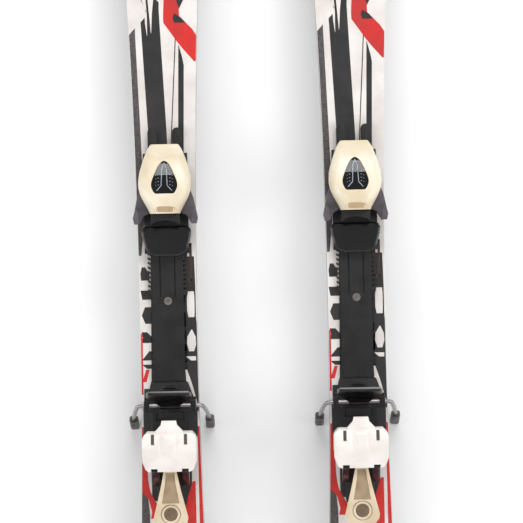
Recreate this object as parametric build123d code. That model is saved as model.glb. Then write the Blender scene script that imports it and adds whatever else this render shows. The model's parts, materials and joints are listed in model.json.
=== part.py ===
from build123d import *
import math
import os

# Pair of carving skis with step-in bindings, open and ready to step into. Millimetres.
# X runs across the skis, Y towards the tips, Z up. Heights called "over the deck" are
# measured from the flat top of the ski, where the binding is screwed on.

# --- ski -------------------------------------------------------------------------
skiLength = 1400.0
waistWidth = 68.4
sidecutRadius = 8900.0
waistY = -70.0
shovelWidth = 109.0
shovelY = 588.0
tailWidth = 98.0
tailY = -640.0
sidecutFront = 430.0
sidecutRear = -470.0
tipRise = 55.0
tipBendY = 540.0
tailRise = 7.0
tailBendY = -645.0
deckThickness = 14.0
endThickness = 6.0
deckFront = 176.0
deckRear = -310.0
baseThickness = 1.8
edgeWidth = 2.2
sidewallWidth = 5.0
topsheetThickness = 1.0
skiSpacing = 226.0

# --- fasteners and fits ----------------------------------------------------------
screwHeadRadius = 4.75
screwHeadHeight = 3.0
screwShankRadius = 2.4
screwDepth = 8.0
screwFit = 0.05
runningFit = 0.05
slideGap = 0.3

# --- front track and middle plate ------------------------------------------------
trackFront = 112.0
trackRear = -38.0
plateRear = -140.0
plateHalf = 18.75
webHalf = 17.0
flangeHalf = 23.5
flangeHeight = 3.0
trackHeight = 6.0
toothPitch = 5.5
toothWidth = 2.6
toothDepth = 5.0
toothSlant = 25.0
toothCount = 17
toothStart = 59.0
centreBarHalf = 8.0
grooveWidth = 1.6
grooveDepth = 1.5
screwY = [96.0, 26.0, -45.0]

# --- toe piece -------------------------------------------------------------------
footHalf = flangeHalf + 3
footTop = 9.0
footFront = 132.0
footRear = 12.0
footClear = 0.8
prongTip = 162.6
prongInner = 9.0
prongOuter = 20.4
spineHalf = 12.5
spineTop = 31.0
spineChamfer = 3.0
spineFront = 127.0
cupFront = 58.0
cupRear = 46.0
cupHalf = 17.0
cupTop = 44.0
coverWall = 2.2
coverLipY = 102.0
windowGap = 0.15
wingBottom = 14.0
wingTop = 33.5
wingPivotX = 21.0
wingPivotY = 70.0
wingBarrel = 6.6
wingPinRadius = 2.5
wingReach = 38.4
wingTipTop = 42.0
toeAxisHeight = 19.5
toeSpringRadius = 8.2
toeSpringWire = 1.6
dialScrewRadius = 3.0
dialHeadRadius = 4.6
afdFront = 44.0
afdRear = 9.0
afdHalfFront = 30.0
afdHalfRear = 24.0
afdTop = 17.0
afdPadThickness = 1.5

# --- rear track and heel carriage ------------------------------------------------
lozengeFront = -142.0
lozengeRear = -298.0
lozengeHalf = 32.5
lozengeHeight = 4.0
railFront = -190.0
railRear = -284.0
railWebHalf = 12.0
railHalf = 17.0
railFlange = 3.0
railTop = 10.0
carriageFront = -160.0
carriageRear = -266.0
carriageHalf = 22.0
carriageTop = 12.6
cheekInner = 14.5
cheekTop = 45.0

# --- heel piece ------------------------------------------------------------------
heelPivotY = -238.0
heelPivotHeight = 38.0
heelPinRadius = 3.0
heelHalf = 31.8
heelFront = -197.0
heelRear = -245.0
heelBottom = 29.0
heelTop = 70.0
noseFront = -185.0
noseHalf = 8.5
heelSpringRadius = 6.8
heelSpringWire = 1.5
heelAxisHeight = 39.0
heelCavityFront = -204.0
heelCavityRear = -241.0
leverPivotY = -236.0
leverPivotHeight = 53.0
leverBarrel = 5.0
leverPinRadius = 2.0
leverThickness = 8.0
leverRear = -315.0
leverHalfFront = 7.8
leverHalfRear = 20.4
dimpleY = -296.0
dimpleRadius = 10.8
dimpleDepth = 2.4

# --- brake -----------------------------------------------------------------------
brakePivotY = -170.0
brakePivotHeight = 12.0
brakeAngle = 70.0
brakeWireRadius = 2.5
brakeArmInner = waistWidth / 2 + 4.4
brakeArmOuter = 46.2
brakeArmLength = 78.0
brakeBend = 7.0
shoeLength = 24.0
shoeWidth = 10.8
shoeThickness = 9.0
pedalLength = 50.0
pedalHalfTop = 27.0
pedalHalfBottom = 12.0
pedalThickness = 5.0
bearingInner = 24.5
bearingOuter = 31.0


def block(x, y, z):
    """Box between the low and high value of each axis."""
    size = [max(span) - min(span) for span in (x, y, z)]
    middle = [(max(span) + min(span)) / 2 for span in (x, y, z)]
    return Pos(*middle) * Box(*size)


def planSlab(points, bottom, top):
    """Closed outline seen from above, between two heights."""
    face = make_face(Polyline(*[(x, y) for x, y in points], close=True))
    return Pos(0, 0, bottom) * extrude(face, top - bottom, dir=(0, 0, 1))


def sideSlab(points, half):
    """Closed outline of (y, z) points, seen from the side, half either side of the centre."""
    wire = Polyline(*[(0, y, z) for y, z in points], close=True)
    return extrude(make_face(wire), half, dir=(1, 0, 0), both=True)


def mirrored(points):
    """Outline of the +X half, completed by its mirror image."""
    return points + [(-x, y) for x, y in reversed(points)]


def rod(start, end, radius):
    """Round bar from one point to another."""
    direction = Vector(*end) - Vector(*start)
    return Plane(origin=start, z_dir=direction) * extrude(Circle(radius), direction.length)


def coil(radius, wire, start, end, height, turns):
    """Compression spring along Y, with the centre line at one height."""
    length = start - end - 2 * wire
    path = Helix(pitch=length / turns, height=length, radius=radius - wire)
    profile = Plane(origin=path @ 0, z_dir=path % 0) * Circle(wire)
    spring = sweep(profile, path=path, is_frenet=True)
    return Pos(0, start - wire, height) * Rot(90, 0, 0) * spring


# --- the ski's own layers --------------------------------------------------------
def sidecutHalf(y):
    return waistWidth / 2 + (y - waistY) ** 2 / (2 * sidecutRadius)


def skiOutline(inset):
    """Plan of the ski, drawn in by inset: sidecut arcs, a round shovel and a squarer tail."""
    tip = skiLength / 2 - inset
    shovel = (shovelWidth / 2 - inset, shovelY)
    tail = (tailWidth / 2 - inset, tailY)
    sideFront = (sidecutHalf(sidecutFront) - inset, sidecutFront)
    sideRear = (sidecutHalf(sidecutRear) - inset, sidecutRear)
    frontSlope = ((sidecutFront - waistY) / sidecutRadius, 1)
    rearSlope = ((sidecutRear - waistY) / sidecutRadius, 1)
    nose = (0.74 * shovel[0], tip - 0.34 * (tip - shovelY))
    heel = (0.78 * tail[0], -tip + 0.2 * (tip + tailY))
    right = [
        Spline((0, -tip), heel, tail, tangents=((1, 0), (0, 1))),
        Spline(tail, sideRear, tangents=((0, 1), rearSlope)),
        ThreePointArc(sideRear, (waistWidth / 2 - inset, waistY), sideFront),
        Spline(sideFront, shovel, tangents=(frontSlope, (0, 1))),
        Spline(shovel, nose, (0, tip), tangents=((0, 1), (-1, 0))),
    ]
    left = [curve.mirror(Plane.YZ) for curve in right]
    return make_face(right + left)


def endCurves(lift):
    """Side view of the tail kick and of the shovel, each an arc with a short straight end."""
    tip = skiLength / 2
    arcs = []
    for side, bendY, rise in ((-1, -tailBendY, tailRise), (1, tipBendY, tipRise)):
        run = tip - bendY
        radius = (run ** 2 + rise ** 2) / (2 * rise)
        angle = math.asin(run / radius)
        middleY = bendY + radius * math.sin(angle / 2)
        middle = (0, side * middleY, radius * (1 - math.cos(angle / 2)) + lift)
        start = (0, side * bendY, lift)
        end = (0, side * tip, rise + lift)
        past = (0, side * (tip + 2), rise + lift + 2 * math.tan(angle))
        arcs.append([ThreePointArc(start, middle, end), Line(end, past)])
    return arcs


def lowerLine(lift):
    """Side view of the running surface, raised by lift."""
    tail, shovel = endCurves(lift)
    return tail[::-1] + [Line((0, tailBendY, lift), (0, tipBendY, lift))] + shovel


def upperLine(drop):
    """Side view of the ski's top, lowered by drop: a flat deck that thins towards both ends."""
    deck = deckThickness - drop
    end = endThickness - drop
    tail, shovel = endCurves(end)
    level = ((0, 1, 0), (0, 1, 0))
    return tail[::-1] + [
        Spline((0, tailBendY, end), (0, deckRear, deck), tangents=level),
        Line((0, deckRear, deck), (0, deckFront, deck)),
        Spline((0, deckFront, deck), (0, tipBendY, end), tangents=level),
    ] + shovel


def band(lower, upper):
    """Everything between two side-view lines, wider than the ski."""
    ends = [Line(lower[0] @ 1, upper[0] @ 1), Line(lower[-1] @ 1, upper[-1] @ 1)]
    face = make_face(lower + upper + ends)
    return extrude(face, shovelWidth, dir=(1, 0, 0), both=True)


def prism(face):
    return Pos(0, 0, -50) * extrude(face, 200, dir=(0, 0, 1))


def screwHoles(clear):
    """Screws of the front track and middle plate, each grown by clear."""
    holes = []
    for y in screwY:
        head = rod((0, y, trackHeight - screwHeadHeight), (0, y, trackHeight), screwHeadRadius + clear)
        shank = rod((0, y, -screwDepth - clear), (0, y, trackHeight), screwShankRadius + clear)
        holes.append(head + shank)
    return holes


def skiLayers():
    """Base, steel edges, core, sidewalls and topsheet. The deck is at height zero."""
    outer = prism(skiOutline(0))
    inner = prism(skiOutline(edgeWidth))
    coreShape = prism(skiOutline(sidewallWidth))
    base = outer & band(lowerLine(0), lowerLine(baseThickness))
    edgeStretch = block((-80, 80), (tailY - 40, shovelY + 30), (-5, 60))
    middleGap = block((-1, 1), (-800, 800), (-5, 90))
    edges = (base & edgeStretch) - inner - middleGap
    base = base - edges
    body = outer & band(lowerLine(baseThickness), upperLine(topsheetThickness))
    core = body & coreShape
    sidewalls = body - coreShape
    topsheet = outer & band(upperLine(topsheetThickness), upperLine(0))
    layers = {
        "ski_base": base,
        "ski_edges": edges,
        "ski_core": core,
        "ski_sidewalls": sidewalls,
        "ski_topsheet": topsheet,
    }
    layers = {name: Pos(0, 0, -deckThickness) * shape for name, shape in layers.items()}
    for hole in screwHoles(screwFit):
        layers["ski_core"] -= hole
        layers["ski_topsheet"] -= hole
    return layers


# --- track and plate -------------------------------------------------------------
def frontTrack():
    """Track with slanted adjustment teeth, running back into the flat middle plate."""
    web = block((-webHalf, webHalf), (trackRear, trackFront), (0, flangeHeight))
    flange = block((-flangeHalf, flangeHalf), (trackRear, trackFront), (flangeHeight, trackHeight))
    plate = block((-plateHalf, plateHalf), (plateRear, trackRear), (0, trackHeight))
    track = web + flange + plate
    for side in (-1, 1):
        for tooth in range(toothCount):
            notch = Box(2 * toothDepth, toothWidth, 2 * trackHeight)
            y = toothStart - tooth * toothPitch
            track -= Pos(side * flangeHalf, y, trackHeight) * Rot(0, 0, side * toothSlant) * notch
        x = side * (centreBarHalf + grooveWidth / 2)
        groove = (x - grooveWidth / 2, x + grooveWidth / 2)
        track -= block(groove, (trackRear - 2, trackFront), (trackHeight - grooveDepth, trackHeight))
    for hole in screwHoles(screwFit):
        track -= hole
    return track


def trackScrews():
    """Countersunk cross-head screws through the track into the core."""
    screws = []
    for y, body in zip(screwY, screwHoles(0)):
        cross = block((-2.6, 2.6), (y - 0.6, y + 0.6), (trackHeight - 1.6, trackHeight))
        cross += block((-0.6, 0.6), (y - 2.6, y + 2.6), (trackHeight - 1.6, trackHeight))
        screws.append(body - cross)
    return Compound(children=[Solid(screw.solid().wrapped) for screw in screws])


def rearTrack():
    """Lozenge-shaped plate with the rail that the heel carriage slides on."""
    half = [(10, lozengeRear), (17, lozengeRear + 8), (lozengeHalf - 5, -228), (lozengeHalf, -203),
            (lozengeHalf, -172), (lozengeHalf - 8, -150), (lozengeHalf - 11, lozengeFront)]
    plate = planSlab(mirrored(half), 0, lozengeHeight)
    web = block((-railWebHalf, railWebHalf), (railRear, railFront), (lozengeHeight, railTop - railFlange))
    flange = block((-railHalf, railHalf), (railRear, railFront), (railTop - railFlange, railTop))
    latch = block((-8, 8), (lozengeFront - 8, lozengeFront - 2), (lozengeHeight, 7))
    return plate + web + flange + latch


# --- toe piece -------------------------------------------------------------------
def toeBase():
    """Sliding foot with two rounded front prongs, the spring housing and the fixed toe cup."""
    foot = block((-footHalf, footHalf), (footRear, footFront), (footClear, footTop))
    prongWidth = prongOuter - prongInner
    for side in (-1, 1):
        x = side * (prongInner + prongOuter) / 2
        y = prongTip - prongWidth / 2
        foot += block((x - prongWidth / 2, x + prongWidth / 2), (footFront, y), (footClear, footTop))
        foot += rod((x, y, footClear), (x, y, footTop), prongWidth / 2)
    channel = (footRear - 1, footFront + 6)
    foot -= block((-webHalf - slideGap, webHalf + slideGap), channel, (0, flangeHeight))
    top = trackHeight + slideGap
    flangeSlot = flangeHalf + slideGap
    foot -= block((-flangeSlot, flangeSlot), channel, (flangeHeight - slideGap, top))
    spine = block((-spineHalf, spineHalf), (cupFront, spineFront), (footTop, spineTop))
    spine = chamfer(spine.edges().filter_by(Axis.Y).sort_by(Axis.Z)[-2:], spineChamfer)
    shelfY = (wingPivotY - 10, wingPivotY + 10)
    shelf = block((-footHalf, footHalf), shelfY, (footTop, wingBottom - slideGap))
    cup = block((-cupHalf, cupHalf), (cupRear, cupFront), (footTop, cupTop))
    cup -= rod((0, cupRear - 26, footTop), (0, cupRear - 26, cupTop), 31)
    body = foot + spine + shelf + cup
    bore = toeSpringRadius + 0.4
    body -= rod((0, cupFront + 6, toeAxisHeight), (0, spineFront - 3, toeAxisHeight), bore)
    screwHole = dialScrewRadius + runningFit
    body -= rod((0, spineFront - 4, toeAxisHeight), (0, spineFront + 1, toeAxisHeight), screwHole)
    body -= block((-2.6, 2.6), (88, 122), (toeAxisHeight, spineTop + 1))
    for side in (-1, 1):
        x = side * wingPivotX
        body -= rod((x, wingPivotY, footTop), (x, wingPivotY, wingBottom), wingPinRadius)
    return body


def toePins():
    """The two upright pivot pins of the wings."""
    pins = []
    for side in (-1, 1):
        x = side * wingPivotX
        pins.append(rod((x, wingPivotY, footTop), (x, wingPivotY, wingTop), wingPinRadius).solid())
    return Compound(children=pins)


def toeWing(side):
    """Side wing that holds the toe of the boot and swings out on its pin."""
    outline = [(20, 84), (29.5, 88), (33.5, 78), (wingReach, 54), (wingReach - 1.5, 47), (31, 47),
               (25.5, 57), (19.5, 59.5)]
    outline = [(side * x, y) for x, y in outline]
    wing = planSlab(outline, wingBottom, wingTop)
    tip = [(35.2, 66), (wingReach, 54), (wingReach - 1.5, 47), (31, 47), (31.8, 60)]
    wing += planSlab([(side * x, y) for x, y in tip], wingTop, wingTipTop)
    pivot = (side * wingPivotX, wingPivotY)
    wing += rod((*pivot, wingBottom), (*pivot, wingTop), wingBarrel)
    return wing - rod((*pivot, 0), (*pivot, 60), wingPinRadius + runningFit)


def coverHull(wall):
    """Sculpted outside of the toe cover, or its inside when drawn in by the wall."""
    stations = [(142, 16.5, 26.5, 6), (130, 23, 35, 8), (117, 27.3, 43.5, 11), (92, 31.2, 52, 14),
                (75, 26, 53, 13), (59, 18, 50, 10)]
    sections = []
    for y, half, top, corner in stations:
        width = 2 * (half - wall)
        height = top - wall - footTop
        middle = footTop + height / 2
        shift = {142: -wall, 59: wall}.get(y, 0)
        profile = Rectangle(width, height)
        corners = profile.vertices().sort_by(Axis.Y)[-2:]
        profile = fillet(corners, corner - wall)
        sections.append(Plane(origin=(0, y + shift, middle), x_dir=(1, 0, 0), z_dir=(0, -1, 0)) * profile)
    return loft(sections)


def eggWindow(gap):
    """Egg-shaped prism of the release-value window, drawn in by gap."""
    right = [(0, 121.8 - gap), (7.5 - gap, 115 - gap), (13.2 - gap, 102), (15.2 - gap, 90),
             (12.6 - gap, 84.4 + gap), (0, 82.6 + gap)]
    face = make_face([Spline(*right, tangents=((1, -0.3), (-1, 0))),
                      Spline(*[(-x, y) for x, y in right], tangents=((-1, -0.3), (1, 0)))])
    return Pos(0, 0, 30) * extrude(face, 40, dir=(0, 0, 1))


def toeCover():
    """Moulded cover shell and the clear window that closes its egg-shaped opening."""
    shell = coverHull(0) - coverHull(coverWall)
    shell -= block((-22, 22), (0, 139.5), (footTop - 1, footTop + 0.01))
    wingRoom = block((-40, 40), (50, coverLipY), (0, wingTop + slideGap))
    shell -= wingRoom
    cupRoom = block((-cupHalf - slideGap, cupHalf + slideGap), (50, cupFront + slideGap), (0, 60))
    shell -= cupRoom
    headY = spineFront
    shell -= rod((0, headY, toeAxisHeight), (0, 160, toeAxisHeight), dialHeadRadius + 0.5)
    window = shell & eggWindow(windowGap)
    return shell - eggWindow(0), window


def toeDial():
    """Release adjuster: slotted head at the front, shank running back to the nut."""
    screw = rod((0, 86, toeAxisHeight), (0, spineFront + 6, toeAxisHeight), dialScrewRadius)
    head = rod((0, spineFront + 6, toeAxisHeight), (0, spineFront + 13, toeAxisHeight), dialHeadRadius)
    slot = block((-1, 1), (spineFront + 10.5, spineFront + 14), (toeAxisHeight - 7, toeAxisHeight + 7))
    return screw + head - slot


def toeIndicator():
    """Nut on the adjuster's shank, with the pointer that shows through the window."""
    nut = rod((0, 96, toeAxisHeight), (0, 104, toeAxisHeight), toeSpringRadius)
    pointer = block((-2.2, 2.2), (98, 102), (toeAxisHeight, 38))
    needle = block((-1, 1), (94, 108), (36.5, 38))
    shank = rod((0, 90, toeAxisHeight), (0, 110, toeAxisHeight), dialScrewRadius + runningFit)
    return nut + pointer + needle - shank


def afdBlock():
    """Anti-friction block under the boot's toe, and the slippery pad set into its top."""
    half = [(afdHalfRear - 10, afdRear), (afdHalfRear - 3, afdRear + 3), (afdHalfRear + 1.5, afdRear + 9),
            (afdHalfFront - 1, afdFront - 13), (afdHalfFront, afdFront - 5), (afdHalfFront - 3, afdFront)]
    body = planSlab(mirrored(half), footTop, afdTop - afdPadThickness)
    pad = planSlab(mirrored([(x - 2, y * 0.94 + 1.7) for x, y in half]), afdTop - afdPadThickness, afdTop)
    return body, pad


# --- heel piece ------------------------------------------------------------------
def heelCarriage():
    """Carriage on the rear rail: foot, brake bearings and the two cheeks that carry the heel."""
    footZ = (lozengeHeight + slideGap, carriageTop)
    foot = block((-carriageHalf, carriageHalf), (carriageRear, railFront + 2), footZ)
    slot = (carriageRear - 1, carriageFront - 17.5)
    foot -= block((-railWebHalf - slideGap, railWebHalf + slideGap), slot, (0, railTop))
    flangeSlot = railHalf + slideGap
    foot -= block((-flangeSlot, flangeSlot), slot, (railTop - railFlange - slideGap, railTop + slideGap))
    tongue = block((-bearingOuter, bearingOuter), (carriageFront - 18, carriageFront),
                   (lozengeHeight + slideGap, 6.8))
    neck = block((-carriageHalf, carriageHalf), (railFront + 1, carriageFront - 17),
                 (lozengeHeight + slideGap, 6.8))
    body = foot + tongue + (neck - block((-flangeSlot, flangeSlot), slot, (0, 20)))
    for side in (-1, 1):
        x = sorted((side * bearingInner, side * bearingOuter))
        bearing = block(x, (brakePivotY - 6, brakePivotY + 6), (5, brakePivotHeight + 5.5))
        body += bearing
        cheek = [(-216, carriageTop - 1), (-222, 34), (-230, cheekTop), (-246, cheekTop), (-262, 26),
                 (carriageRear, carriageTop - 1)]
        plate = extrude(make_face(Polyline(*[(0, y, z) for y, z in cheek], close=True)),
                        carriageHalf - cheekInner, dir=(side, 0, 0))
        body += Pos(side * cheekInner, 0, 0) * plate
    body -= rod((-40, brakePivotY, brakePivotHeight), (40, brakePivotY, brakePivotHeight),
                brakeWireRadius + runningFit)
    return body - rod((-40, heelPivotY, heelPivotHeight), (40, heelPivotY, heelPivotHeight), heelPinRadius)


def heelPins():
    """Stub pins, fixed in the cheeks, that the heel housing turns on."""
    pins = []
    for side in (-1, 1):
        start = (side * 9.8, heelPivotY, heelPivotHeight)
        pins.append(rod(start, (side * 28.5, heelPivotY, heelPivotHeight), heelPinRadius).solid())
    return Compound(children=pins)


def heelHousing():
    """White heel housing with its nose, spring cavity, lever slot and slots for the cheeks."""
    side = [(heelFront - 2, heelBottom + 1), (heelFront, 60), (-200, 66), (-206, heelTop - 1),
            (-212, heelTop), (-221, heelTop - 0.6), (-231, heelTop - 3), (heelRear, 63.6), (heelRear, heelBottom),
            (-225, heelBottom - 2)]
    plan = [(heelHalf - 7, heelRear), (heelHalf - 3.4, heelRear + 3), (heelHalf, heelRear + 12),
            (heelHalf, -207), (heelHalf - 1.4, -203), (heelHalf - 7, heelFront), (noseHalf, heelFront)]
    body = sideSlab(side, heelHalf) & planSlab(mirrored(plan), 0, heelTop + 5)
    nose = [(noseHalf, noseFront), (noseHalf + 1, noseFront - 5), (16, heelFront), (16, heelFront - 8)]
    body += planSlab(mirrored(nose), 55, 65)
    for x in (-1, 1):
        slot = sorted((x * (cheekInner - slideGap), x * (carriageHalf + slideGap)))
        body -= block(slot, (heelRear - 5, -207), (0, cheekTop + 6))
        body -= block(slot, (heelRear - 5, -236), (0, 60))
        body -= block(slot, (heelRear - 5, heelRear + 3.6), (0, heelTop + 5))
        window = sorted((x * 17.4, x * 21.4))
        body -= block(window, (-213, -200.5), (cheekTop + 8, heelTop + 5))
        flute = rod((x * 9.5, -224, heelTop + 2.6), (x * 9.5, heelFront + 5, heelTop - 0.2), 4)
        body -= flute
        ear = sorted((x * (heelHalf - 6), x * (heelHalf + 5)))
        body -= block(ear, (heelRear - 5, -226), (0, 44))
    cavityRadius = heelSpringRadius + 0.4
    body -= rod((0, heelCavityFront, heelAxisHeight), (0, heelCavityRear, heelAxisHeight), cavityRadius)
    body -= rod((0, heelCavityRear, heelAxisHeight), (0, heelRear - 1, heelAxisHeight), 2.5 + runningFit)
    slotHalf = leverHalfFront + slideGap
    body -= block((-slotHalf, slotHalf), (heelRear - 5, -229.5), (47, 61.5))
    pinHole = heelPinRadius + runningFit
    body -= rod((-40, heelPivotY, heelPivotHeight), (40, heelPivotY, heelPivotHeight), pinHole)
    pin = rod((-14, leverPivotY, leverPivotHeight), (14, leverPivotY, leverPivotHeight), leverPinRadius)
    return body - pin, pin


def heelLever():
    """Flat opening lever: it widens to a round end with a dimple for the tip of a ski pole."""
    half = [(leverHalfFront, -238), (leverHalfFront, -247), (leverHalfFront + 4, -266),
            (leverHalfRear, -300), (leverHalfRear - 1, -306), (leverHalfRear - 6, -312), (leverHalfRear - 13, leverRear)]
    low = leverPivotHeight - leverThickness / 2
    blade = planSlab(mirrored(half), low, low + leverThickness)
    drop = [(-230, low + leverThickness), (-268, low + leverThickness), (leverRear, low + leverThickness - 3),
            (leverRear - 2, 80), (-230, 80)]
    blade -= sideSlab(drop, 40)
    dish = [(5.2, -246), (6.0, -258), (10.6, -284)]
    blade -= planSlab(mirrored(dish), low + leverThickness - 1.3, low + leverThickness + 2)
    under = [(-252, low), (leverRear - 1, low + 3), (leverRear - 1, low - 5), (-252, low - 5)]
    blade -= sideSlab(under, 40)
    start, finish = [(x, leverPivotY, leverPivotHeight) for x in (-leverHalfFront, leverHalfFront)]
    barrel = rod(start, finish, leverBarrel)
    blade += barrel
    ring = Cylinder(dimpleRadius + 1, 3) - Cylinder(dimpleRadius, 3)
    ring = Pos(0, dimpleY, low + leverThickness - 2.4) * ring
    blade -= ring
    sphere = (dimpleRadius ** 2 + dimpleDepth ** 2) / (2 * dimpleDepth)
    top = low + leverThickness - 1.8
    blade -= Pos(0, dimpleY, top + sphere - dimpleDepth) * Sphere(sphere)
    pinHole = leverPinRadius + runningFit
    axis = rod((-20, leverPivotY, leverPivotHeight), (20, leverPivotY, leverPivotHeight), pinHole)
    return blade - axis


def heelDial():
    """Release adjuster of the heel, below the lever, and the nut that loads its spring."""
    shank = rod((0, -222, heelAxisHeight), (0, heelRear, heelAxisHeight), 2.5)
    head = rod((0, heelRear, heelAxisHeight), (0, heelRear - 5, heelAxisHeight), 5)
    slot = block((-6, 6), (heelRear - 6, heelRear - 3), (heelAxisHeight - 0.8, heelAxisHeight + 0.8))
    nut = rod((0, -233, heelAxisHeight), (0, -228, heelAxisHeight), heelSpringRadius)
    nut -= rod((0, -240, heelAxisHeight), (0, -220, heelAxisHeight), 2.5 + runningFit)
    return shank + head - slot, nut


# --- brake -----------------------------------------------------------------------
def deployed(shape):
    """Turn a brake piece from lying along the ski to sticking down behind the pivot."""
    return Pos(0, brakePivotY, brakePivotHeight) * Rot(brakeAngle, 0, 0) * shape


def brakeWire():
    """One bent wire: cross bar through the bearings and an arm down each side of the ski."""
    right = [(brakeArmInner, 0, 0), (brakeArmInner + 4, -20, 0), (brakeArmOuter, -brakeArmLength + 26, 0),
             (brakeArmOuter, -brakeArmLength, 0)]
    points = [(-x, y, z) for x, y, z in reversed(right)] + right
    path = FilletPolyline(*points, radius=brakeBend)
    wire = sweep(Plane(origin=path @ 0, z_dir=path % 0) * Circle(brakeWireRadius), path=path)
    return deployed(wire)


def brakeShoes():
    """Plastic shoes moulded over the ends of the wire, rounded where they dig in."""
    shoes = []
    for side in (-1, 1):
        end = -brakeArmLength - 6
        shoeX = (-shoeWidth / 2, shoeWidth / 2)
        shoeZ = (-shoeThickness / 2, shoeThickness / 2)
        shoe = block(shoeX, (end, end + shoeLength + 6), shoeZ)
        shoe = fillet(shoe.edges().filter_by(Axis.Y), 3)
        shoe = Pos(side * brakeArmOuter, 0, 0) * shoe
        armX = side * brakeArmOuter
        shoe -= rod((armX, -brakeArmLength, 0), (armX, end + 60, 0), brakeWireRadius)
        shoes.append(deployed(shoe).solid())
    return Compound(children=shoes)


def brakePedal():
    """Pedal clamped to the cross bar; the boot's heel presses it flat and lifts the arms."""
    half = [(pedalHalfBottom, -4), (pedalHalfBottom, 6), (pedalHalfTop, pedalLength - 8),
            (pedalHalfTop - 3, pedalLength)]
    plate = planSlab(mirrored(half), -pedalThickness / 2, pedalThickness / 2)
    barrel = rod((-pedalHalfBottom, 0, 0), (pedalHalfBottom, 0, 0), 4.6)
    pedal = plate + barrel - rod((-40, 0, 0), (40, 0, 0), brakeWireRadius)
    return deployed(pedal)


# --- one ski with its binding ----------------------------------------------------
def buildSki():
    """All sub-parts of one ski, with the deck at height zero."""
    parts = skiLayers()
    parts["front_track"] = frontTrack()
    parts["track_screws"] = trackScrews()
    parts["rear_track"] = rearTrack()
    parts["toe_base"] = toeBase()
    parts["toe_wing_pins"] = toePins()
    parts["toe_wing_left"] = toeWing(-1)
    parts["toe_wing_right"] = toeWing(1)
    parts["toe_cover"], parts["toe_window"] = toeCover()
    parts["toe_release_screw"] = toeDial()
    parts["toe_indicator"] = toeIndicator()
    parts["toe_spring"] = coil(toeSpringRadius, toeSpringWire, 96, cupFront + 6, toeAxisHeight, 6)
    parts["afd_block"], parts["afd_pad"] = afdBlock()
    parts["heel_carriage"] = heelCarriage()
    parts["heel_housing_pins"] = heelPins()
    parts["heel_housing"], parts["heel_lever_pin"] = heelHousing()
    parts["heel_lever"] = heelLever()
    parts["heel_release_screw"], parts["heel_spring_nut"] = heelDial()
    parts["heel_spring"] = coil(heelSpringRadius, heelSpringWire, heelCavityFront, -228, heelAxisHeight, 5)
    parts["brake_wire"] = brakeWire()
    parts["brake_shoes"] = brakeShoes()
    parts["brake_pedal"] = brakePedal()
    return parts


def main():
    os.makedirs("parts", exist_ok=True)
    ski = buildSki()
    lift = -min(shape.bounding_box().min.Z for shape in ski.values())
    print("deck height", round(lift, 3))
    for name, side in (("left", -1), ("right", 1)):
        for part, shape in ski.items():
            placed = Pos(side * skiSpacing / 2, 0, lift) * shape
            export_step(placed, f"parts/{name}_{part}.step")


main()
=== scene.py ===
import json
import math
import bpy
from mathutils import Matrix, Vector


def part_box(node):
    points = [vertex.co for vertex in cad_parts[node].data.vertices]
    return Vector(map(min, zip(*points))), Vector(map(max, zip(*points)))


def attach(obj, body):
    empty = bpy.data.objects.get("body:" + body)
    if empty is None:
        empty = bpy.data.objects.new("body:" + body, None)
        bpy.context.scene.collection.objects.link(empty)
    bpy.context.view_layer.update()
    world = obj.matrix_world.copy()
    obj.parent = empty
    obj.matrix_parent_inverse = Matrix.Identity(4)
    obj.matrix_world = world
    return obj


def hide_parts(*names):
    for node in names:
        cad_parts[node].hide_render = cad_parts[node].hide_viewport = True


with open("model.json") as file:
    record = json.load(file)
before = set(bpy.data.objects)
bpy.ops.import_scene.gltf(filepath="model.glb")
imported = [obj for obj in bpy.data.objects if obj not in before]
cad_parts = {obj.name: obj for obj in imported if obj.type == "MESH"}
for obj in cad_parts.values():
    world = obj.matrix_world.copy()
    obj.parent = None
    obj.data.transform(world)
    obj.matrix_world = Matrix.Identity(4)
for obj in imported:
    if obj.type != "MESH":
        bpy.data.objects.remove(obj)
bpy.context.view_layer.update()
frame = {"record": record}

mm = 0.001
sides = ("left", "right")
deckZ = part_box("left_front_track")[0][2]
nodeBody = {node: body for body, nodes in frame["record"]["behaviour"]["bodies"].items() for node in nodes}


def skiCentre(side):
    low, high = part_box(side + "_front_track")
    return (low[0] + high[0]) / 2


# small helpers
def deselectAll():
    if bpy.context.object and bpy.context.object.mode != "OBJECT":
        bpy.ops.object.mode_set(mode="OBJECT")
    bpy.ops.object.select_all(action="DESELECT")


def selectOnly(*pieces):
    deselectAll()
    for piece in pieces:
        piece.select_set(True)
    bpy.context.view_layer.objects.active = pieces[0]


def applyAll(piece):
    selectOnly(piece)
    for modifier in list(piece.modifiers):
        bpy.ops.object.modifier_apply(modifier=modifier.name)
    bpy.ops.object.transform_apply(location=True, rotation=True, scale=True)


def addModifier(piece, kind, **settings):
    modifier = piece.modifiers.new(kind.title(), kind)
    for key, value in settings.items():
        setattr(modifier, key, value)
    return modifier


def finishPiece(piece, name, material, body, angle=35):
    selectOnly(piece)
    bpy.ops.object.shade_smooth_by_angle(angle=math.radians(angle))
    piece.name = name
    piece.data.name = name
    piece.data.materials.clear()
    piece.data.materials.append(material)
    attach(piece, body)
    return piece


def joinPieces(pieces):
    selectOnly(*pieces)
    bpy.ops.object.join()
    return bpy.context.object


# materials
speckSpacing = 9.0


def hexLinear(code, alpha=1.0):
    values = [int(code[i:i + 2], 16) / 255 for i in (0, 2, 4)]
    return tuple(v / 12.92 if v <= 0.04045 else ((v + 0.055) / 1.055) ** 2.4 for v in values) + (alpha,)


def addNode(tree, kind, inputs=None, links=None, **settings):
    node = tree.nodes.new(kind)
    for key, value in settings.items():
        setattr(node, key, value)
    for key, value in (inputs or {}).items():
        node.inputs[key].default_value = value
    for key, source in (links or {}).items():
        tree.links.new(source, node.inputs[key])
    return node


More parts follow.
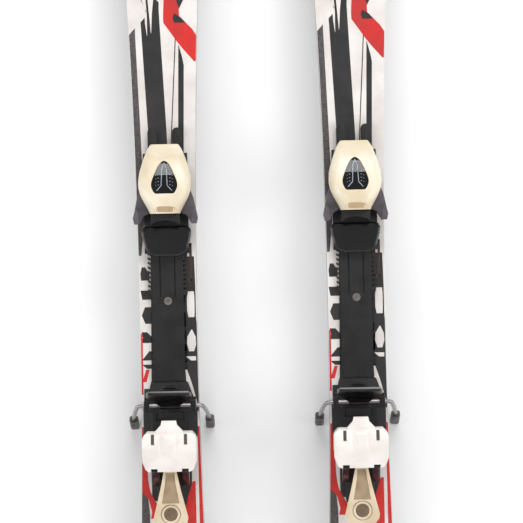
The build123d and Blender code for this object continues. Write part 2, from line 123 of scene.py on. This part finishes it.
# patch, grain and weave are sizes in millimetres; specks is the share of a speckle's cell that is worn pale
def surface(name, colour, shade, roughness, patch=18.0, grain=0.5, bump=0.15, metallic=0.0,
            stretch=(1, 1, 1), weave=0.0, coat=0.0, specks=0.0):
    material = bpy.data.materials.new(name)
    material.use_nodes = True
    tree = material.node_tree
    shader = tree.nodes["Principled BSDF"]
    shader.inputs["Metallic"].default_value = metallic
    shader.inputs["Coat Weight"].default_value = coat
    place = addNode(tree, "ShaderNodeTexCoord")
    spread = addNode(tree, "ShaderNodeMapping", {"Scale": stretch}, {"Vector": place.outputs["Object"]})
    patches = addNode(tree, "ShaderNodeTexNoise", {"Scale": 1000 / patch, "Detail": 4.0},
                      {"Vector": spread.outputs["Vector"]})
    tint = addNode(tree, "ShaderNodeValToRGB", links={"Fac": patches.outputs["Fac"]})
    tint.color_ramp.elements[0].position = 0.38
    tint.color_ramp.elements[0].color = hexLinear(colour)
    tint.color_ramp.elements[1].position = 0.68
    tint.color_ramp.elements[1].color = hexLinear(shade)
    fine = addNode(tree, "ShaderNodeTexNoise", {"Scale": 1000 / grain, "Detail": 3.0},
                   {"Vector": spread.outputs["Vector"]})
    height = fine.outputs["Fac"]
    colourOut = tint.outputs["Color"]
    if weave:
        waves = []
        for direction in ("X", "Y"):
            waves.append(addNode(tree, "ShaderNodeTexWave",
                                 {"Scale": 1000 / weave / 6.283 * 2, "Distortion": 0.4},
                                 {"Vector": place.outputs["Object"]}, bands_direction=direction))
        crossed = {0: waves[0].outputs["Fac"], 1: waves[1].outputs["Fac"]}
        both = addNode(tree, "ShaderNodeMath", links=crossed, operation="MULTIPLY")
        mixed = addNode(tree, "ShaderNodeMath", {1: 0.35}, {0: both.outputs[0], 2: fine.outputs["Fac"]},
                        operation="MULTIPLY_ADD")
        height = mixed.outputs[0]
        lift = addNode(tree, "ShaderNodeMix", data_type="RGBA", blend_type="SCREEN")
        tree.links.new(colourOut, lift.inputs[6])
        lift.inputs[7].default_value = (0.06, 0.06, 0.06, 1)
        tree.links.new(both.outputs[0], lift.inputs["Factor"])
        colourOut = lift.outputs[2]
    if specks:
        dots = addNode(tree, "ShaderNodeTexVoronoi", {"Scale": 1000 / speckSpacing},
                       {"Vector": place.outputs["Object"]})
        mask = addNode(tree, "ShaderNodeMath", {1: specks}, {0: dots.outputs["Distance"]},
                       operation="LESS_THAN")
        worn = addNode(tree, "ShaderNodeMix", data_type="RGBA")
        tree.links.new(mask.outputs[0], worn.inputs["Factor"])
        tree.links.new(colourOut, worn.inputs[6])
        worn.inputs[7].default_value = hexLinear("8a8785")
        colourOut = worn.outputs[2]
    tree.links.new(colourOut, shader.inputs["Base Color"])
    roughRange = {"From Min": 0.3, "From Max": 0.7, "To Min": roughness * 0.85,
                  "To Max": min(1.0, roughness * 1.2)}
    rough = addNode(tree, "ShaderNodeMapRange", roughRange, {"Value": patches.outputs["Fac"]})
    tree.links.new(rough.outputs["Result"], shader.inputs["Roughness"])
    relief = addNode(tree, "ShaderNodeBump", {"Strength": bump, "Distance": 0.0003}, {"Height": height})
    tree.links.new(relief.outputs["Normal"], shader.inputs["Normal"])
    return material


def smokedPolycarbonate():
    material = bpy.data.materials.new("smokedPolycarbonate")
    material.use_nodes = True
    tree = material.node_tree
    shader = tree.nodes["Principled BSDF"]
    shader.inputs["Base Color"].default_value = hexLinear("0a0b0c")
    shader.inputs["IOR"].default_value = 1.585
    shader.inputs["Roughness"].default_value = 0.04
    shader.inputs["Alpha"].default_value = 0.72
    place = addNode(tree, "ShaderNodeTexCoord")
    haze = addNode(tree, "ShaderNodeTexNoise", {"Scale": 220.0}, {"Vector": place.outputs["Object"]})
    relief = addNode(tree, "ShaderNodeBump", {"Strength": 0.03, "Distance": 0.0002},
                     {"Height": haze.outputs["Fac"]})
    tree.links.new(relief.outputs["Normal"], shader.inputs["Normal"])
    return material


# printed nylon film over a woven carrier: satin, with a faint cross weave showing through
filmWhite = surface("printedFilmWhite", "dedad7", "cfc7c2", 0.34, patch=30, weave=1.3, bump=0.35, coat=0.3)
filmBlack = surface("printedFilmBlack", "0b0809", "191415", 0.3, patch=26, weave=1.3, bump=0.4, coat=0.3,
                    specks=0.03)
filmRed = surface("printedFilmRed", "cb130c", "b0150f", 0.3, patch=26, weave=1.3, bump=0.4, coat=0.3)
filmGrey = surface("printedFilmGrey", "4d4647", "2b2526", 0.42, patch=3, weave=1.8, bump=0.6)
filmBrown = surface("printedFilmBrown", "3a221c", "2a1a18", 0.34, patch=12, weave=1.3, bump=0.4)
# sintered polyethylene, stone ground: waxy black with fine lines along the ski
groundPolyethylene = surface("groundPolyethylene", "1b1b1d", "28282b", 0.5, patch=9, grain=0.35, bump=0.3,
                             stretch=(1, 0.05, 1))
# carbon steel strip, ground: grey metal with lengthwise scratches
groundSteelEdge = surface("groundSteelEdge", "a9a9ab", "8a8887", 0.34, patch=8, grain=0.3, bump=0.2,
                          metallic=1.0, stretch=(1, 0.05, 1))
# ABS strip, planed: dull black
planedAbs = surface("planedAbs", "1a1718", "262223", 0.55, patch=14, grain=0.4, bump=0.2)
# laminated ash and poplar, sawn
sawnWood = surface("sawnWood", "c8a878", "a98a5c", 0.7, patch=12, grain=0.8, bump=0.3, stretch=(1, 0.08, 1))
# glass-filled nylon, moulded: near black, dull, with a fine spark-eroded grain
mouldedNylonBlack = surface("mouldedNylonBlack", "080707", "100f0f", 0.48, patch=20, grain=0.45, bump=0.35,
                            specks=0.025)
# acetal, moulded in a polished tool: deep gloss black
polishedAcetal = surface("polishedAcetal", "0b0a0b", "121011", 0.2, patch=24, grain=1.2, bump=0.05,
                         coat=0.25)
# nylon, moulded: mid grey with a slight violet cast
mouldedNylonGrey = surface("mouldedNylonGrey", "5b565b", "474247", 0.36, patch=16, grain=0.6, bump=0.15)
shoeNylonGrey = surface("shoeNylonGrey", "55504d", "3f3b39", 0.5, patch=8, grain=0.5, bump=0.35)
# nylon, moulded and yellowed by sun: warm off-white with soft gloss
agedNylonCream = surface("agedNylonCream", "e2d7c2", "d2c3a5", 0.32, patch=34, grain=1.0, bump=0.08)
# painted shade: darker tan for the toe cover's rear lip, where the cover slopes away from the light
coverLipPaintedShade = surface("coverLipPaintedShade", "b59d7e", "a48a69", 0.4, patch=22, grain=0.8, bump=0.1)
mouldedNylonWhite = surface("mouldedNylonWhite", "e9e4df", "dbd3cd", 0.3, patch=34, grain=1.0, bump=0.08)
leverNylonCream = surface("leverNylonCream", "d6c6ab", "c6b294", 0.36, patch=26, grain=0.8, bump=0.1)
# painted shade: darker, browner cream for the shaded faces of the lever's recessed dish
leverPaintedShade = surface("leverPaintedShade", "a08b70", "8c785d", 0.42, patch=14, grain=0.8, bump=0.12)
# painted shade: darker still, for the shaded inside of the lever's dimple
leverPaintedDeepShade = surface("leverPaintedDeepShade", "6d5c46", "5c4d3a", 0.45, patch=8, grain=0.8, bump=0.12)
# steel, zinc plated or drawn
platedSteel = surface("platedSteel", "b4b1ae", "8f8b88", 0.26, patch=5, grain=0.3, bump=0.1, metallic=1.0)
drawnWire = surface("drawnWire", "a39fa2", "8b8789", 0.3, patch=4, grain=0.3, bump=0.12, metallic=0.85)
dialPaint = surface("dialPaint", "9aa3ad", "7f8791", 0.4, patch=6, grain=0.4, bump=0.05)
smokedWindow = smokedPolycarbonate()

nodeMaterials = {
    "ski_base": groundPolyethylene, "ski_edges": groundSteelEdge, "ski_core": sawnWood,
    "ski_sidewalls": planedAbs, "ski_topsheet": filmWhite, "front_track": mouldedNylonBlack,
    "track_screws": platedSteel, "rear_track": mouldedNylonBlack, "toe_base": mouldedNylonBlack,
    "toe_wing_pins": platedSteel, "toe_wing_left": mouldedNylonGrey, "toe_wing_right": mouldedNylonGrey,
    "toe_cover": agedNylonCream, "toe_window": smokedWindow, "toe_release_screw": platedSteel,
    "toe_indicator": dialPaint, "toe_spring": drawnWire,
    "afd_block": polishedAcetal, "afd_pad": polishedAcetal,
    "heel_carriage": polishedAcetal, "heel_housing_pins": platedSteel, "heel_housing": mouldedNylonWhite,
    "heel_lever_pin": platedSteel, "heel_lever": leverNylonCream, "heel_release_screw": platedSteel,
    "heel_spring_nut": platedSteel, "heel_spring": drawnWire, "brake_wire": drawnWire,
    "brake_shoes": shoeNylonGrey, "brake_pedal": polishedAcetal,
}
for side in sides:
    for node, material in nodeMaterials.items():
        carried = bpy.data.objects[side + "_" + node]
        carried.data.materials.clear()
        carried.data.materials.append(material)
print("materials ready")

# rounded copies of the moulded and machined parts: each CAD part with its sharp edges eased, in millimetres.
# the front track keeps its CAD faces, because easing spoils its long top face.
mergeDistance = 0.02 * mm
easedEdges = {
    "toe_base": 1.0, "toe_wing_left": 1.1, "toe_wing_right": 1.1, "afd_block": 1.6, "afd_pad": 0.5,
    "rear_track": 0.7, "heel_carriage": 0.7, "heel_housing": 1.5, "heel_lever": 1.1,
    "brake_pedal": 1.0, "brake_shoes": 0.6, "toe_release_screw": 0.4, "heel_release_screw": 0.4,
    "toe_cover": 0.7,
}


def easedCopy(side, node, width):
    source = bpy.data.objects[side + "_" + node]
    piece = source.copy()
    piece.data = source.data.copy()
    bpy.context.collection.objects.link(piece)
    selectOnly(piece)
    bpy.ops.object.mode_set(mode="EDIT")
    bpy.ops.mesh.select_all(action="SELECT")
    bpy.ops.mesh.remove_doubles(threshold=mergeDistance)
    bpy.ops.mesh.dissolve_limited(angle_limit=math.radians(2))
    bpy.ops.object.mode_set(mode="OBJECT")
    addModifier(piece, "BEVEL", width=width * mm, segments=3, limit_method="ANGLE",
                angle_limit=math.radians(32), use_clamp_overlap=True, miter_outer="MITER_ARC")
    applyAll(piece)
    carried = side + "_" + node
    finishPiece(piece, carried + "_moulded", nodeMaterials[node], nodeBody[carried], angle=40)
    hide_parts(carried)
    return piece


eased = {}
for side in sides:
    for node, width in easedEdges.items():
        eased[side, node] = easedCopy(side, node, width)
print("moulded parts eased")


# printed graphics: strips of ink film, each a row of stations (y, left x, right x) in millimetres
# about the ski's centre. 99 means out to the ski's edge.
printSettings = {"step": 8.0, "film": 0.12, "margin": 0.5}
sidecut = {"halfWaist": 34.2, "waistY": -70, "twiceRadius": 17800}
outlineStep = 6
printStrips = {
    "film_black": (0.05, filmBlack, [
        [(330, -29, -24), (316, -27.6, -4), (305, -27, -4.3), (156, -19.8, 2.4), (60, -16, 5)],
        [(330, 18, 19.2), (156, 7.6, 8.8), (60, 4, 6)],
        [(262, 18.5, 19), (240, 18, 24.6), (156, 16.2, 22.8), (60, 14, 21)],
        [(345, -31, -26), (420, -34, -12), (500, -30, 4), (560, -16, 10), (600, 0, 8), (640, 6, 7)],
        [(420, 20, 22), (520, 17, 25), (610, 12, 16), (660, 6, 7)],
        [(62, -19, 19), (-142, -22, 22), (-150, -25, 25), (-285, -24, 24)],
        [(8, 18, 32), (-30, 18, 33), (-70, 18, 33), (-165, 18, 99), (-178, 26, 99)],
        [(-4, -31, -27), (-10, -33, -22), (-20, -32, -22)],
        [(-32, -33, -20), (-43, -31, -20)],
        [(-52, -28, -20), (-56, -31, -20), (-62, -32, -20), (-68, -31, -20), (-72, -28, -20)],
        [(-82, -33, -26), (-88, -31, -20), (-95, -33, -20)],
        [(-105, -24, -20), (-116, -33, -20)],
        [(-121, -33, -20), (-126, -27, -20)],
        [(-150, -31, -22), (-200, -31.5, -25)],
    ]),
    "film_white": (0.12, filmWhite, [
        [(318, -25, -20), (300, -22.5, -18.6), (274, -19, -18.7)],
        [(318, -17.5, -10.5), (300, -16, -12.6), (277, -14.2, -13.8)],
        [(-34, 24, 31), (-38, 22.5, 31.5), (-60, 22.5, 31.5), (-65, 24, 31)],
        [(-80, 27, 28), (-88, 22, 32), (-98, 21.5, 32.5), (-106, 24, 30)],
        [(-128, 19, 21), (-146, 20, 27), (-166, 27, 32), (-172, 31, 33.6)],
        [(-112, 20, 32), (-117, 26, 32)],
        [(-205, 28.5, 31.5), (-320, 29, 32), (-480, 31, 34.5), (-600, 34, 38)],
        [(540, -20, -19), (500, -24, -14), (440, -26, -20), (420, -25.5, -25)],
    ]),
    "film_brown": (0.12, filmBrown, [
        [(24, 20, 24), (-22, 21.5, 23.5)],
        [(24, 26, 29.5), (-22, 27.5, 29.5)],
        [(24, 20, 29.5), (21, 20, 29.5)],
        [(-18, 21.5, 29.5), (-22, 21.5, 29.5)],
    ]),
    "film_red": (0.18, filmRed, [
        [(360, 6, 99), (330, 2.5, 99), (290, 0.5, 99), (262, 20, 99), (242, 37.2, 99)],
        [(470, -99, -36), (400, -99, -30), (372, -99, -35)],
        [(650, 14, 99), (560, 24, 99), (470, 36, 99)],
        [(-84, -99, -31.6), (-157, -99, -31.8)],
        [(-127, -28, -24), (-142, -33, -28)],
        [(-196, -99, -31.2), (-262, -99, -28.4), (-276, -30, -25.5), (-300, -24, -12), (-306, -26, 24)],
        [(-196, 32, 99), (-320, 32.6, 99), (-480, 35, 99), (-600, 38.6, 99)],
        [(-262, 25, 28.4), (-300, 12, 28.4), (-306, 0, 28.4), (-330, -27, 28.4), (-480, -26, 30.4),
         (-640, -24, 33)],
    ]),
    "film_grey": (0.14, filmGrey, [
        [(420, -99, -36), (314, -99, -34.6), (156, -99, -29), (60, -99, -26), (10, -99, -31)],
        [(-270, -99, -30), (-300, -99, -27), (-480, -99, -27), (-640, -99, -26)],
    ]),
    "film_shape_dark": (0.24, filmBlack, [
        [(336, 22, 29), (326, 16, 30), (314, 17, 29), (306, 24, 29)],
        [(300, 14, 15), (294, 12, 99), (289, 14, 99)],
        [(470, -25, -15), (440, -21, -13), (428, -15, -14)],
        [(-350, -14, -12), (-420, -8, 2), (-560, 2, 6), (-610, 5, 6)],
        [(-380, 10, 12), (-470, 12, 20), (-600, 17, 19)],
        [(-480, -18, -17), (-560, -14, -8), (-640, -9, -8)],
    ]),
}


def skiHalfWidth(y):
    # the sidecut's own arc, which holds over the printed length
    return sidecut["halfWaist"] + (y - sidecut["waistY"]) ** 2 / sidecut["twiceRadius"]


def edgeHalf(outline, y):
    return min(skiHalfWidth(y), outline(y)) - printSettings["margin"]


def topsheetOutline(side):
    # half width of the topsheet along the ski, read from the CAD topsheet's own vertices
    sheet = bpy.data.objects[side + "_ski_topsheet"]
    centre = skiCentre(side)
    spots = sorted((v.co.y / mm, abs(v.co.x - centre) / mm) for v in sheet.data.vertices)
    widest = {}
    for y, half in spots:
        slotKey = round(y / outlineStep)
        widest[slotKey] = max(widest.get(slotKey, 0), half)
    keys = sorted(key for key in widest if widest[key] > 8)

    def half(y):
        before = max((key for key in keys if key * outlineStep <= y), default=keys[0])
        after = min((key for key in keys if key * outlineStep >= y), default=keys[-1])
        if before == after:
            return widest[before]
        share = (y / outlineStep - before) / (after - before)
        return widest[before] * (1 - share) + widest[after] * share
    return half


def stripPiece(side, stations, lift, target, outline=None):
    # a long grid, its rows moved to the stations and laid on the target below it
    stations = sorted(stations)
    low, high = stations[0][0], stations[-1][0]
    step = printSettings["step"] if outline else 1.0
    rows = max(2, round((high - low) / step))
    deselectAll()
    bpy.ops.mesh.primitive_grid_add(x_subdivisions=3 if outline else 12, y_subdivisions=rows, size=1)
    strip = bpy.context.object
    centre = skiCentre(side)
    for vertex in strip.data.vertices:
        y = low + (vertex.co.y + 0.5) * (high - low)
        for start, end in zip(stations, stations[1:]):
            if start[0] <= y <= end[0] + 1e-6:
                share = (y - start[0]) / (end[0] - start[0])
                left = start[1] + share * (end[1] - start[1])
                right = start[2] + share * (end[2] - start[2])
                break
        if outline:
            limit = edgeHalf(outline, y)
            left = max(-limit, min(limit, left))
            right = max(-limit, min(limit, right))
        x = left + (vertex.co.x + 0.5) * (right - left)
        spot = (centre + x * mm, y * mm)
        hit, place, normal, face = target.ray_cast(Vector((*spot, 0.5)), Vector((0, 0, -1)))
        height = place.z if hit else deckZ
        vertex.co = Vector((*spot, height + lift * mm))
    return strip


for side in sides:
    outline = topsheetOutline(side)
    for name, (lift, ink, strips) in printStrips.items():
        sheet = bpy.data.objects[side + "_ski_topsheet"]
        film = joinPieces([stripPiece(side, stations, lift, sheet, outline) for stations in strips])
        addModifier(film, "SOLIDIFY", thickness=printSettings["film"] * mm, offset=-1.0)
        applyAll(film)
        finishPiece(film, side + "_" + name, ink, side + "_ski")
print("topsheet printed")


# thin overlays of painted shade for the darker faces of the lever's dish and dimple and of the cover's rear
# lip
overlaySettings = {"film": 0.08, "lift": 0.03, "dimpleY": -296, "dimpleRadius": 8.2}


def dimpleStation(degrees):
    turn = math.radians(degrees)
    half = overlaySettings["dimpleRadius"] * math.cos(turn)
    return overlaySettings["dimpleY"] + overlaySettings["dimpleRadius"] * math.sin(turn), -half, half


overlays = [
    ("heel_lever", "lever_dish_painted_shade", leverPaintedShade, "opening_lever",
     [(-247, -5.0, 5.0), (-258, -5.8, 5.8), (-283, -10.2, 10.2)]),
    ("heel_lever", "lever_dimple_painted_shade", leverPaintedDeepShade, "opening_lever",
     [dimpleStation(degrees) for degrees in range(-84, 90, 12)]),
    ("toe_cover", "cover_lip_painted_shade", coverLipPaintedShade, "toe_unit",
     [(67.5, -6, 6), (66.5, -11, 11), (64.5, -14.2, 14.2), (62.6, -14.6, 14.6), (60.8, -13.6, 13.6)]),
]
for side in sides:
    for node, name, tint, body, stations in overlays:
        overlay = stripPiece(side, stations, overlaySettings["lift"], eased[side, node])
        addModifier(overlay, "SOLIDIFY", thickness=overlaySettings["film"] * mm, offset=-1.0)
        applyAll(overlay)
        finishPiece(overlay, side + "_" + name, tint, side + "_" + body)
print("tinted faces laid on")


# the toe window's dial: a dark plate below it, plain ticks and a narrow chevron needle just above it
dialSettings = {"tickRows": 4, "tickFront": 105, "tickGap": 4, "tickWidth": 0.6, "lineWidth": 0.9,
                "lift": 0.05, "paint": 0.15, "plateDrop": 2.4, "fallbackHeight": 45}


def windowTop(side, x, y):
    window = bpy.data.objects[side + "_toe_window"]
    origin = Vector((skiCentre(side) + x * mm, y * mm, 0.5))
    hit, place, normal, face = window.ray_cast(origin, Vector((0, 0, -1)))
    return place.z if hit else None


def dialPlate(side):
    # the plate follows the window from below, so it reads as one dark recess
    source = bpy.data.objects[side + "_toe_window"]
    plate = source.copy()
    plate.data = source.data.copy()
    bpy.context.collection.objects.link(plate)
    plate.data.transform(Matrix.Translation((0, 0, -dialSettings["plateDrop"] * mm)))
    selectOnly(plate)
    bpy.ops.object.mode_set(mode="EDIT")
    bpy.ops.mesh.select_all(action="SELECT")
    bpy.ops.mesh.remove_doubles(threshold=mergeDistance)
    bpy.ops.object.mode_set(mode="OBJECT")
    finishPiece(plate, side + "_toe_dial_plate", mouldedNylonBlack, side + "_toe_unit")


def dialLine(side, start, end, width):
    deselectAll()
    bpy.ops.mesh.primitive_grid_add(x_subdivisions=1, y_subdivisions=8, size=1)
    line = bpy.context.object
    along = Vector((end[0] - start[0], end[1] - start[1]))
    across = Vector((along.y, -along.x)).normalized() * width
    for vertex in line.data.vertices:
        spot = Vector(start) + along * (vertex.co.y + 0.5) + across * vertex.co.x
        top = windowTop(side, spot.x, spot.y)
        height = (top if top else deckZ + dialSettings["fallbackHeight"] * mm) + dialSettings["lift"] * mm
        vertex.co = Vector((skiCentre(side) + spot.x * mm, spot.y * mm, height))
    return line


for side in sides:
    dialPlate(side)
    wide = dialSettings["lineWidth"]
    lines = [dialLine(side, (0, 119), (s * 2.6, 112), wide) for s in (-1, 1)]
    lines += [dialLine(side, (s * 2.6, 112), (s * 3.6, 92), wide) for s in (-1, 1)]
    lines += [dialLine(side, (s * 3.6, 92), (s * 9.0, 86), wide) for s in (-1, 1)]
    for row in range(dialSettings["tickRows"]):
        y = dialSettings["tickFront"] - dialSettings["tickGap"] * row
        for s in (-1, 1):
            lines.append(dialLine(side, (s * 6.2, y), (s * 7.6, y), dialSettings["tickWidth"]))
            lines.append(dialLine(side, (s * 9.4, y - 1), (s * 10.2, y - 1), dialSettings["tickWidth"]))
    marks = joinPieces(lines)
    addModifier(marks, "SOLIDIFY", thickness=dialSettings["paint"] * mm, offset=0.0)
    applyAll(marks)
    finishPiece(marks, side + "_toe_dial_marks", dialPaint, side + "_toe_unit")
print("toe dials made")


# camera straight above the middle of the pair, turned a little as the pair lies
cameraSettings = {"height": 3.0, "view": 0.628, "turn": -1.2, "sensor": 36}
deselectAll()
bpy.ops.object.camera_add(location=(0, 0, deckZ + cameraSettings["height"]))
camera = bpy.context.object
camera.rotation_euler = (0, 0, math.radians(cameraSettings["turn"]))
camera.data.sensor_width = cameraSettings["sensor"]
camera.data.lens = cameraSettings["sensor"] * cameraSettings["height"] / cameraSettings["view"]
bpy.context.scene.camera = camera
bpy.context.scene.view_settings.view_transform = "Standard"

deselectAll()
bpy.ops.mesh.primitive_plane_add(size=12)
floor = bpy.context.object
floor.name = "paleFloor"
paleFloor = bpy.data.materials.new("palePaper")
paleFloor.use_nodes = True
paper = paleFloor.node_tree.nodes["Principled BSDF"]
paper.inputs["Base Color"].default_value = hexLinear("f4f4f4")
paper.inputs["Roughness"].default_value = 0.9
floor.data.materials.append(paleFloor)


def softLight(name, place, size, power, target=(0, 0, 0.06)):
    bpy.ops.object.light_add(type="AREA", location=place)
    light = bpy.context.object
    light.name = name
    light.data.shape = "RECTANGLE"
    light.data.size, light.data.size_y = size
    light.data.energy = power
    aim = Vector(target) - Vector(place)
    light.rotation_euler = aim.to_track_quat("-Z", "Y").to_euler()
    return light


softLight("keyFromFront", (0.4, 1.9, 1.7), (2.4, 1.0), 46)
softLight("fillFromLeft", (-1.9, -0.3, 1.3), (1.0, 2.4), 24)
softLight("fillFromRight", (1.9, -0.4, 1.3), (1.0, 2.4), 24)
softLight("backFromTails", (0, -2.0, 1.4), (2.4, 0.8), 12)
world = bpy.context.scene.world or bpy.data.worlds.new("studio")
bpy.context.scene.world = world
world.use_nodes = True
world.node_tree.nodes["Background"].inputs["Color"].default_value = (1, 1, 1, 1)
world.node_tree.nodes["Background"].inputs["Strength"].default_value = 0.42
print("camera and lights placed")
